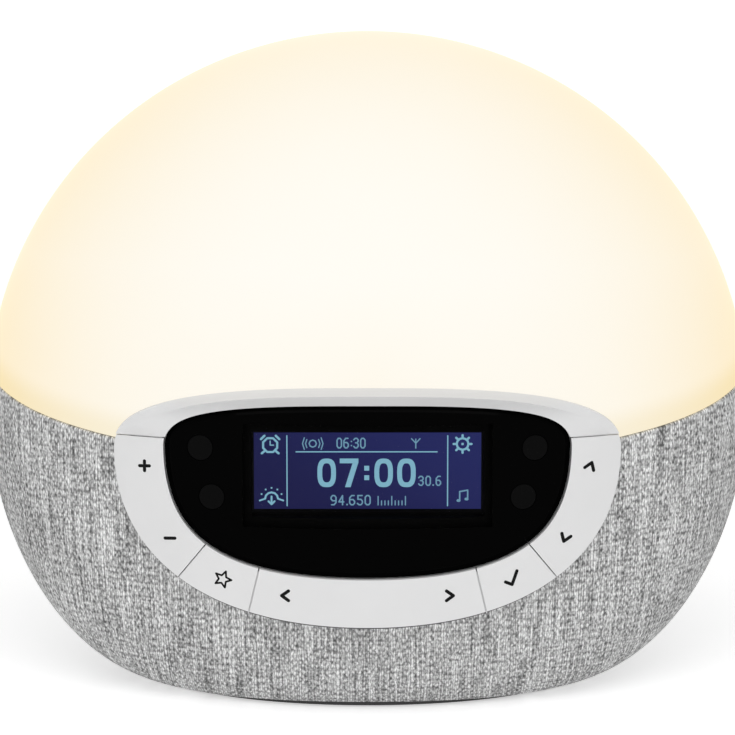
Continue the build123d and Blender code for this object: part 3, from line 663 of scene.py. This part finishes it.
# The finish of each material slot, apart from the shade's and the cover's.
FINISHES = {
    "fascia": moulded("pale_plastic", PALE, 0.42, 0.00018, 0.000006, 0.015),
    "key": moulded("key_plastic", (0.715, 0.715, 0.717), 0.40, 0.00018, 0.000006, 0.015),
    "soft_key": moulded(
        "soft_touch", (0.0035, 0.0035, 0.0035), 0.8, 0.0002, 0.00001, Specular_IOR_Level=0.02
    ),
    "window": lens_finish(),
    "display": display_finish(),
    "housing": moulded("housing_plastic", (0.09, 0.09, 0.09), 0.6),
    "base": moulded("base_plastic", (0.028, 0.028, 0.028), 0.6, 0.0005, 0.00004),
    "rear_plastic": moulded("rear_plastic", (0.06, 0.06, 0.062), 0.55, 0.0005, 0.00004),
    "foot": moulded("foot_rubber", (0.02, 0.02, 0.02), 0.85, 0.0006, 0.00003),
    "gasket": moulded("gasket_rubber", (0.5, 0.5, 0.5), 0.8),
    "deck": moulded("white_tray", (0.82, 0.82, 0.81), 0.5),
    "component": moulded("component_resin", (0.012, 0.012, 0.013), 0.5),
    "inlet": moulded("inlet_plastic", (0.012, 0.012, 0.012), 0.35),
    "surround": moulded("roll_rubber", (0.012, 0.012, 0.012), 0.7),
    "cone": moulded("pressed_paper", (0.03, 0.03, 0.032), 0.85, 0.0012, 0.0001, 0.2),
    "basket": moulded("painted_steel", (0.02, 0.02, 0.02), 0.45),
    "magnet": moulded("ferrite", (0.03, 0.03, 0.032), 0.6, 0.0008, 0.00005),
    "cover_plate": moulded("cover_plastic", (0.02, 0.02, 0.02), 0.5),
    "bezel": moulded("bezel_plastic", (0.028, 0.028, 0.028), 0.5),
    "backlight": moulded("light_guide", (0.4, 0.45, 0.9), 0.3),
    "mat": moulded("silicone", (0.5, 0.5, 0.48), 0.6),
    "ribbon": moulded("ribbon_film", (0.45, 0.22, 0.04), 0.35),
    "warm_light": moulded("led_phosphor", (0.9, 0.6, 0.1), 0.4),
    "circuit_board": board_finish(),
    "screw": metal("zinc_plated", (0.55, 0.55, 0.56), 0.32),
    "shield": metal("tinned_can", (0.7, 0.7, 0.7), 0.25),
    "spreader": metal("anodised_aluminium", (0.72, 0.73, 0.75), 0.4),
}
MASK = moulded("mask_black", (0.0015, 0.0015, 0.0015), 0.5, Specular_IOR_Level=0.012)
# Dark grey that paints the shade the proud panel casts on the cloth below it.
PAINTED_SHADE_DARK = moulded("painted_panel_shade", (0.09, 0.09, 0.09), 0.8)
OPAL = opal_finish()
WOVEN = woven_finish()
SYMBOL = glowing("lit_symbols", (0.22, 0.47, 0.60))
FINE_SYMBOL = glowing("fine_symbols", (0.16, 0.33, 0.46))
INK = moulded("printed_ink", (0.003, 0.003, 0.003), 0.6, 0.0002, 0.000002, Specular_IOR_Level=0.1)


# ================================================================== dome and cover
def dome():
    """Opal shade: the body's surface from the crown to the seam, opened behind the panel, 2.4 mm thick.

    Column by column the run goes evenly from the crown to the seam.
    """
    rows, columns = 120, 381
    angle = np.linspace(-pi / 2, 1.5 * pi, columns)
    share = np.linspace(0, 1, rows)[:, None]
    run = share * seam_run(angle, SEAM_GAP / 2)
    points = body_surface(run, angle).reshape(-1, 3)
    edge = oval(**PANEL, inset=OPENING_IN)
    points, faces = open_body(points, grid_faces(rows, columns), edge, PANEL["middle"], -1)
    points, faces, _ = without_unused(points, faces)
    made = piece("opal_dome", points, faces, CLOCK, OPAL)
    weld(made)
    thicken(made, DOME_WALL)
    crease(made, 50)
    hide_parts("diffuser_dome")


COVER_CURL = 0.0007
CURL_STEPS = 5
FAN_FROM = 0.4
FAN_SHARE = 0.7
UPRIGHT_SHARE = 0.75


def cover():
    """Woven cover: the body's surface from the seam to the base, opened behind both panels.

    Its edges curl in by a quarter circle. UV is metres of cloth: across, the arc from the front's middle
    line, radius times the integral of the root of sin^2 + (flatten cos)^2, where the radius is more and more
    that of the equator towards the back; up, a quarter of the run from the crown and three quarters of the
    height, as cloth stretched lengthways over the belly.
    """
    rows, columns = 110, 461
    angle = np.linspace(-1.5 * pi, pi / 2, columns)
    top, low = seam_run(angle, -SEAM_GAP / 2), base_run(angle)
    turn = np.linspace(pi / 2, 0, CURL_STEPS + 1)[:-1, None]
    share = np.linspace(0, 1, rows)[:, None]
    flat_run = top + COVER_CURL + share * (low - top - 2 * COVER_CURL)
    first = top + COVER_CURL * (1 - np.sin(turn))
    last = low - COVER_CURL * (1 - np.sin(turn[::-1]))
    run = np.vstack([first, flat_run, last])
    inset = np.zeros_like(run)
    inset[:CURL_STEPS] = COVER_CURL * (1 - np.cos(turn))
    inset[-CURL_STEPS:] = COVER_CURL * (1 - np.cos(turn[::-1]))
    points = body_surface(run, angle, inset).reshape(-1, 3)
    fine = np.linspace(-1.5 * pi, pi / 2, 4001)
    arc = np.concatenate([[0], np.cumsum(np.hypot(np.diff(np.cos(fine)), FLATTEN * np.diff(np.sin(fine))))])
    arc -= np.interp(-pi / 2, fine, arc)
    across = np.interp(angle, fine, arc)
    share = 1 - FAN_SHARE * np.clip(np.abs(across) / arc[-1] - FAN_FROM, 0, 1 - FAN_FROM) / (1 - FAN_FROM)
    radius = share * np.interp(run, RUN, RADIUS) + (1 - share) * HALF_WIDTH
    upright = (1 - UPRIGHT_SHARE) * -run + UPRIGHT_SHARE * np.interp(run, RUN, LEVEL)
    uv = np.stack([radius * across, upright], -1).reshape(-1, 2)
    faces = grid_faces(*run.shape)
    points, faces = open_body(points, faces, oval(**PANEL, inset=OPENING_IN), PANEL["middle"], -1)
    rear = rounded_rectangle(REAR_HALF, REAR_HIGH, REAR_CORNER, REAR_Z)
    points, faces = open_body(points, faces, rear, REAR_Z, 1)
    points, faces, uv = without_unused(points, faces, uv)
    made = piece("woven_cover", points, faces, CLOCK, WOVEN, uv)
    weld(made)
    thicken(made, FABRIC_THICK)
    crease(made, 60)
    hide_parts("fabric_cover")


# The strip of painted shade under the panel: how far it tucks under, how far it shows, its height over the
# cloth, its steps.
SHADE_STRIP_TUCK = 0.001
SHADE_STRIP_SHOWS = 0.0003
SHADE_STRIP_PROUD = 0.00004
SHADE_STRIP_STEPS = 5
SIGHT_SLOPE = 1 / 4
SIGHT_ROUNDS = 8


def panel_painted_shade():
    """Painted shade of the proud panel: a dark strip on the cloth, along the lower half of the panel's
    outline.

    From 1 mm under the panel it reaches as far as a line that passes the panel's edge at 0.3 mm or less and
    falls backwards by a quarter of its way to the cloth. That level is found in a few rounds.
    """
    edge = oval(**PANEL, count=240)
    side = edge - np.array([0, PANEL["middle"]])
    down = -side[:, 1] / np.hypot(*side.T)
    edge, down = edge[down > 0.05], down[down > 0.05]
    edge, down = edge[np.argsort(edge[:, 0])], down[np.argsort(edge[:, 0])]
    run = np.gradient(edge, axis=0)
    out = np.stack([run[:, 1], -run[:, 0]], 1) / np.hypot(*run.T)[:, None]
    inner = edge - out * SHADE_STRIP_TUCK
    outer = edge + out * SHADE_STRIP_SHOWS * np.sqrt(down)[:, None]
    front = on_keys(outer[:, 0])
    level = outer[:, 1]
    for _ in range(SIGHT_ROUNDS):
        level = outer[:, 1] - (on_body(outer[:, 0], level) - front) * SIGHT_SLOPE
    outer = np.stack([outer[:, 0], level], 1)
    share = np.linspace(0, 1, SHADE_STRIP_STEPS)[:, None, None]
    flat = inner + share * (outer - inner)
    depth = on_body(flat[..., 0], flat[..., 1]) - SHADE_STRIP_PROUD
    points = np.stack([flat[..., 0], depth, flat[..., 1]], -1)
    # This strip is painted shade on the cloth, not a part of the clock.
    made = piece("panel_painted_shade", points, grid_faces(SHADE_STRIP_STEPS, len(edge)), CLOCK, PAINTED_SHADE_DARK)


MASK_WALL = np.array([0.0002, 0.0002])
MASK_FLANGE = np.array([0.0065, 0.005])
MASK_THIN = 0.00005
MASK_STEPS = 96
GLASS_GAP = 0.00003


def display_mask():
    """Black tunnel from the lens to the display.

    A rectangular tube with walls of 0.2 mm, and a flange 5 to 6.5 mm wide in front, which lies just inside
    the lens's back, along an upright elliptic cylinder.
    """
    ring = evenly(np.array([(1.0, 1.0), (-1.0, 1.0), (-1.0, -1.0), (1.0, -1.0)]), MASK_STEPS)
    behind = MASK_FRONT + MASK_THIN
    section = []
    for grow, deep in (
        (MASK_WALL, behind),
        (MASK_WALL, None),
        (0.0, None),
        (0.0, MASK_FRONT),
        (MASK_FLANGE, MASK_FRONT),
        (MASK_FLANGE, behind),
        (MASK_WALL, behind),
    ):
        flat = ring * (np.array(MASK_HALF) + grow)
        if deep is None:
            depth = np.full(len(flat), LCD_Y - GLASS_GAP)
        else:
            depth = AXIS_Y - (PANEL_AY - deep) * np.sqrt(1 - (flat[:, 0] / (PANEL_AX - deep)) ** 2)
        section.append(np.stack([flat[:, 0], depth, flat[:, 1] + LCD_Z], 1))
    points = np.stack(section)
    points = np.concatenate([points, points[:, :1]], 1)
    made = piece("display_mask", points, grid_faces(*points.shape[:2]), CLOCK, MASK)
    weld(made)
    crease(made, 30)


RIBS = (
    ((53.9, 77.9), (65.9, 77.9), 0.05, 0.09),
    ((43.2, 49.1), (50.5, 40.0), 0.04, -0.105),
    ((28.7, 43.2), (31.4, 31.8), 0.10, 0.0),
)
RIB_FRONT = 0.0003
RIB_BACK = 0.0031
RIB_STEPS = 13
RIB_RING = 5  # its four corners, and the first again


def key_ribs():
    """Thin ribs of the panel in the gaps between its keys, from 0.3 mm behind the keys' faces to the deck.

    In front view each is a straight line between two places, then come its half width and how far it is
    moved sideways, in millimetres. Beside the rocking keys, whose edges swing sideways by up to 0.23 mm, they
    are thinner and lie close to the still side of the gap.
    """
    share = np.linspace(0, 1, RIB_STEPS)[:, None]
    last = RIB_RING * (RIB_STEPS - 1)
    ends = np.array([[0, 1, 2, 3], [last + 3, last + 2, last + 1, last]])
    quads = np.vstack([grid_faces(RIB_STEPS, RIB_RING), ends])
    points, faces = [], []
    for side in (-1, 1):
        for a, b, half, shift in RIBS:
            a = np.array(a) * (side, 1) * 0.001
            b = np.array(b) * (side, 1) * 0.001
            across = np.array([a[1] - b[1], b[0] - a[0]]) / np.hypot(*(b - a)) * 0.001
            off = half * across
            line = a + share * (b - a) + side * shift * across
            ring = []
            for turn, deep in ((-1, RIB_FRONT), (1, RIB_FRONT), (1, RIB_BACK), (-1, RIB_BACK)):
                flat = line + turn * off
                ring.append(np.stack([flat[:, 0], on_keys(flat[:, 0]) + deep, flat[:, 1]], 1))
            ring = np.stack(ring + ring[:1], 1)
            start = RIB_RING * RIB_STEPS * len(points)
            points.append(ring)
            faces.append(start + (quads if side > 0 else quads[:, ::-1]))
    made = piece("key_ribs", np.concatenate(points), np.vstack(faces), CLOCK, FINISHES["fascia"])
    weld(made)
    crease(made, 30)


# ================================================================== printed and lit strokes
def stroke(path, width, closed=False):
    """A flat line of even width with round ends, as a list of polygons in the plane.

    Each straight run is a strip, offset half a width to both sides, and each corner and end has a disc.
    """
    path = np.asarray(path, float)
    ends = np.vstack([path, path[:1]]) if closed else path
    shapes = []
    for a, b in zip(ends[:-1], ends[1:]):
        way = (b - a) / max(np.hypot(*(b - a)), 1e-9)
        off = np.array([-way[1], way[0]]) * width / 2
        shapes.append(np.array([a - off, b - off, b + off, a + off]))
    t = np.linspace(0, 2 * pi, 16, endpoint=False)
    disc = np.stack([np.cos(t), np.sin(t)], 1) * width / 2
    return shapes + [disc + p for p in path]


def bar(x0, z0, x1, z1):
    """A filled upright rectangle between two corners."""
    return [np.array([(x0, z0), (x1, z0), (x1, z1), (x0, z1)])]


def lay(name, shapes, body, material, depth_of):
    """Lay flat polygons on a surface: each corner takes its depth from its place."""
    points, faces, count = [], [], 0
    for shape in shapes:
        points.append(np.stack([shape[:, 0], depth_of(shape[:, 0]), shape[:, 1]], 1))
        faces.append(list(range(count, count + len(shape))))
        count += len(shape)
    made = faceted(name, np.vstack(points).tolist(), faces, material)
    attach(made, body)


def turned(shapes, middle, degrees_anticlockwise):
    """Turn shapes drawn about zero by the rotation matrix of cos and sin, and move them to a middle."""
    a = radians(degrees_anticlockwise)
    turn = np.array([[cos(a), sin(a)], [-sin(a), cos(a)]])
    return [shape @ turn + np.array(middle) for shape in shapes]


INK_WIDE = 0.00088
STAR_INK_WIDE = 0.00052


def key_marks():
    """Plus and minus, up and down, left and right, a star and a tick, each on its own key."""
    minus = stroke([(-0.0013, -0.00008), (0.0013, 0.00008)], INK_WIDE)
    plus = minus + stroke([(0, -0.0013), (0, 0.0013)], INK_WIDE)
    arrow = stroke([(-0.0013, -0.0009), (0.0, 0.0009), (0.0013, -0.0009)], INK_WIDE)
    t = np.radians(np.arange(0, 360, 36) + 90)
    r = np.where(np.arange(10) % 2 == 0, 0.0023, 0.00105)
    star = stroke(np.stack([r * np.cos(t), r * np.sin(t)], 1), STAR_INK_WIDE, closed=True)
    tick = stroke([(-0.0019, 0.0001), (-0.0006, -0.0013), (0.0020, 0.0015)], INK_WIDE)
    high, low, wide, word = (0.05875, 0.070), (0.0521, 0.051), (0.02165, 0.0370), (0.0381, 0.0408)
    volume = turned(plus, (-high[0], high[1]), 0) + turned(minus, (-low[0], low[1]), 0)
    scroll = turned(arrow, high, -22) + turned(arrow, low, 158)
    tune = turned(arrow, (-wide[0], wide[1]), 90) + turned(arrow, wide, -90)
    preset, select = turned(star, (-word[0], word[1]), -22), turned(tick, word, 24)
    marks = dict(volume=volume, scroll=scroll, tune=tune, preset=preset, select=select)
    for name, shapes in marks.items():
        lay("marks_" + name, shapes, "key_" + name, INK, on_keys)


def digit_seven(x, z, w, h, t):
    """A seven: a bar on top and a leaning leg."""
    foot, leg, top = x + 0.28 * w, 1.15 * t, z + h - 0.8 * t
    leaning = np.array([(foot, z), (foot + leg, z), (x + w, top), (x + w - leg, top)])
    return bar(x, z + h - t, x + w, z + h) + [leaning]


def digit_zero(x, z, w, h, t):
    """A nought: a band between two ovals, whose places are cos and sin to the power 0.72, sign kept."""
    a = np.linspace(0, 2 * pi, 37)
    circle = np.stack([np.cos(a), np.sin(a)], 1)
    squared = np.sign(circle) * np.abs(circle) ** 0.72
    middle, half = np.array([x + w / 2, z + h / 2]), np.array([w / 2, h / 2])
    outer = middle + half * squared
    inner = middle + (half - t) * squared
    return [np.array([outer[i], outer[i + 1], inner[i + 1], inner[i]]) for i in range(36)]


NOUGHT = [(0, 0.3), (0.3, 0), (0.7, 0), (1, 0.3), (1, 1.3), (0.7, 1.6), (0.3, 1.6), (0, 1.3), (0, 0.3)]
THREE = [(0, 1.35), (0.3, 1.6), (0.7, 1.6), (1, 1.35), (1, 1.1), (0.7, 0.85), (0.4, 0.85), (0.7, 0.85)]
THREE += [(1, 0.6), (1, 0.3), (0.7, 0), (0.3, 0), (0, 0.25)]
FOUR = [(0.75, 0), (0.75, 1.6), (0, 0.5), (1, 0.5)]
FIVE = [(0.95, 1.6), (0.1, 1.6), (0.1, 0.95), (0.7, 0.95), (1, 0.65), (1, 0.3), (0.7, 0), (0.3, 0), (0, 0.25)]
SIX = [(0.9, 1.6), (0.4, 1.6), (0, 1.2), (0, 0.3), (0.3, 0)]
SIX += [(0.7, 0), (1, 0.3), (1, 0.6), (0.7, 0.9), (0, 0.9)]
NINE = [(1 - x, 1.6 - z) for x, z in SIX]
DIGIT_WIDE = 0.0049
DIGIT_TALL = 0.0077
DIGIT_STROKE = 0.00128
FIGURE_STROKE = 0.36
DIGITS_PROUD = 0.00008
LINES_PROUD = 0.00006


def display_symbols():
    """The time, icons and lines of the display, laid just in front of its glass.

    Places and widths are in millimetres from the display's middle.
    """

    def at(points):
        """Places on the glass, in metres."""
        return np.asarray(points, float) * 0.001 + np.array([0, LCD_Z])

    def line(points, width, closed=False):
        """A stroke through places."""
        return stroke(at(points), width * 0.001, closed)

    def figures(numbers, x, z, wide, tall, pitch):
        """Small numbers in a row, each drawn in one stroke through places on a grid of 1 by 1.6."""
        drawn = []
        for place, number in enumerate(numbers):
            drawn += line([(x + place * pitch + u * wide, z + v * tall) for u, v in number], FIGURE_STROKE)
        return drawn

    def dot(x, z, size):
        """A filled square."""
        return bar(*at([(x, z)])[0], *at([(x + size, z + size)])[0])

    def around(middle, radius, angle):
        """A place on a circle, at an angle in degrees."""
        return middle[0] + radius * cos(radians(angle)), middle[1] + radius * sin(radians(angle))

    big = []
    for x, draw in ((-13.2, digit_zero), (-7.3, digit_seven), (1.8, digit_zero), (7.8, digit_zero)):
        left, low = at([(x, -4.4)])[0]
        big += draw(left, low, DIGIT_WIDE, DIGIT_TALL, DIGIT_STROKE)
    big += dot(-0.85, -2.5, 1.3) + dot(-0.85, 0.05, 1.3)
    for x in (-21.2, 21.1):
        big += line([(x, 9.4), (x, -9.4)], 0.32)
    big += line([(-18.8, 5.1), (18.3, 5.1)], 0.32)

    clock = (-25.6, 6.9)
    big += line([around(clock, 2.0, turn) for turn in range(22, 382, 45)], 0.55, closed=True)
    for side in (-1, 1):
        near, bell_end, foot_end = clock[0] + side * 1.5, clock[0] + side * 2.4, clock[0] + side * 2.2
        big += line([(near, clock[1] + 2.5), (bell_end, clock[1] + 1.6)], 0.6)
        big += line([(near, clock[1] - 1.6), (foot_end, clock[1] - 2.2)], 0.6)
    big += line([(clock[0], clock[1] + 1.1), clock, (clock[0] + 0.9, clock[1])], 0.3)

    sun = (-25.3, -7.5)
    big += line([around(sun, 1.7, turn) for turn in range(0, 181, 30)], 0.5)
    for turn in (25, 58, 90, 122, 155):
        x, z = around(sun, 2.9, turn)
        big += dot(x - 0.2, z - 0.2, 0.42)
    for side in (-1, 1):
        big += line([(sun[0] + side * 3.1, sun[1] - 0.5), (sun[0] + side * 1.7, sun[1])], 0.45)
    big += line([(sun[0], sun[1] + 0.6), (sun[0], sun[1] - 1.4)], 0.5)
    big += line([(sun[0] - 0.8, sun[1] - 0.7), (sun[0], sun[1] - 1.5), (sun[0] + 0.8, sun[1] - 0.7)], 0.5)

    gear = (25.0, 7.2)
    big += line([around(gear, 1.55, turn) for turn in range(0, 360, 30)], 0.55, closed=True)
    for turn in range(0, 360, 45):
        big += line([around(gear, 1.7, turn), around(gear, 2.35, turn)], 0.6)
    big += dot(gear[0] - 0.3, gear[1] - 0.3, 0.6)

    small = figures([NOUGHT, SIX], -8.0, 6.15, 1.15, 1.6, 1.8)
    small += figures([THREE, NOUGHT], -3.6, 6.15, 1.15, 1.6, 1.8)
    small += dot(-4.4, 6.6, 0.36) + dot(-4.4, 7.7, 0.36)
    small += figures([NINE, FOUR], -9.6, -9.15, 1.3, 1.55, 2.05) + dot(-5.6, -9.3, 0.42)
    small += figures([SIX, FIVE, NOUGHT], -4.7, -9.15, 1.3, 1.55, 2.05)
    small += figures([THREE, NOUGHT], 13.5, -3.9, 1.15, 1.5, 1.9) + dot(17.1, -4.05, 0.42)
    small += figures([SIX], 18.1, -3.9, 1.15, 1.5, 1.9)
    for place in range(9):
        small += line([(2.8 + place * 0.9, -9.2), (2.8 + place * 0.9, -8.1 if place % 4 else -6.9)], 0.3)

    bell = (-14.4, 7.3)
    small += line([around(bell, 0.95, turn) for turn in range(0, 360, 45)], 0.34, closed=True)
    for side in (0, 180):
        for radius in (1.9, 2.7):
            small += line([around(bell, radius, side + turn) for turn in (-35, 0, 35)], 0.3)
    small += line([(12.7, 6.1), (12.7, 8.5)], 0.32) + line([(11.6, 8.6), (12.7, 7.4), (13.8, 8.6)], 0.32)
    small += line([(24.3, -7.9), (24.3, -5.6), (26.4, -5.2), (26.4, -7.5)], 0.38)
    for x, z in ((24.0, -8.0), (26.1, -7.6)):
        small += line([(x - 0.15, z), (x + 0.15, z)], 0.75)

    def before_glass(proud):
        """A depth so far in front of the glass, the same at every place."""
        return lambda x: np.full(x.shape, LCD_Y - proud)

    lay("display_digits", big, CLOCK, SYMBOL, before_glass(DIGITS_PROUD))
    lay("display_lines", small, CLOCK, FINE_SYMBOL, before_glass(LINES_PROUD))


# ================================================================== pieces kept from the frame
def dress_frame():
    """Give every node that is kept its finish, by its material slot."""
    for part in frame["record"]["subparts"]:
        if part["material_slot"] in FINISHES:
            node = NODES[part["node"]]
            node.data.materials.clear()
            node.data.materials.append(FINISHES[part["material_slot"]])


# ================================================================== studio
def aimed(made, place, aim):
    """Put a lamp or a camera at a place, and point it at another."""
    made.location = place
    made.rotation_euler = (Vector(aim) - Vector(place)).to_track_quat("-Z", "Y").to_euler()


LAMP_AIM = (0.0, 0.0, 0.07)


def lamp(name, place, size, power):
    """A rectangular soft light that points at the clock."""
    data = bpy.data.lights.new(name, "AREA")
    data.shape = "RECTANGLE"
    data.size, data.size_y = size
    data.energy = power
    aimed(put(name, data), place, LAMP_AIM)


FLOOR_HALF = 6.0


def studio():
    """White floor, an even soft world, one soft box high in front and one level with the clock."""
    bpy.context.scene.world = world_finish()
    lamp("high_box", place=(0.0, -0.75, 1.05), size=(1.3, 0.9), power=8.0)
    lamp("level_box", place=(0.0, -1.6, 0.35), size=(1.8, 0.9), power=5.0)
    corners = np.array([(-1, -1, 0), (1, -1, 0), (1, 1, 0), (-1, 1, 0)]) * FLOOR_HALF
    faceted("floor", corners.tolist(), [[0, 1, 2, 3]], floor_finish())


CAMERA_LENS = 177.1
CAMERA_FAR = 1.0
CAMERA_TILT = radians(10.0)
CAMERA_ABOUT_Z = 0.090
CAMERA_AIM_Z = 0.0870


def camera():
    """A long lens in front, on a circle ten degrees above the level of the clock's middle."""
    data = bpy.data.cameras.new("camera")
    data.sensor_width = 36.0
    data.lens = CAMERA_LENS
    data.clip_end = 50.0
    made = put("camera", data)
    back, up = CAMERA_FAR * cos(CAMERA_TILT), CAMERA_FAR * sin(CAMERA_TILT)
    aimed(made, (0.0, AXIS_Y - back, CAMERA_ABOUT_Z + up), (0.0, AXIS_Y, CAMERA_AIM_Z))
    bpy.context.scene.camera = made


dress_frame()
dome()
cover()
panel_painted_shade()
key_ribs()
display_mask()
key_marks()
display_symbols()
studio()
camera()
bpy.context.scene.view_settings.view_transform = "Standard"
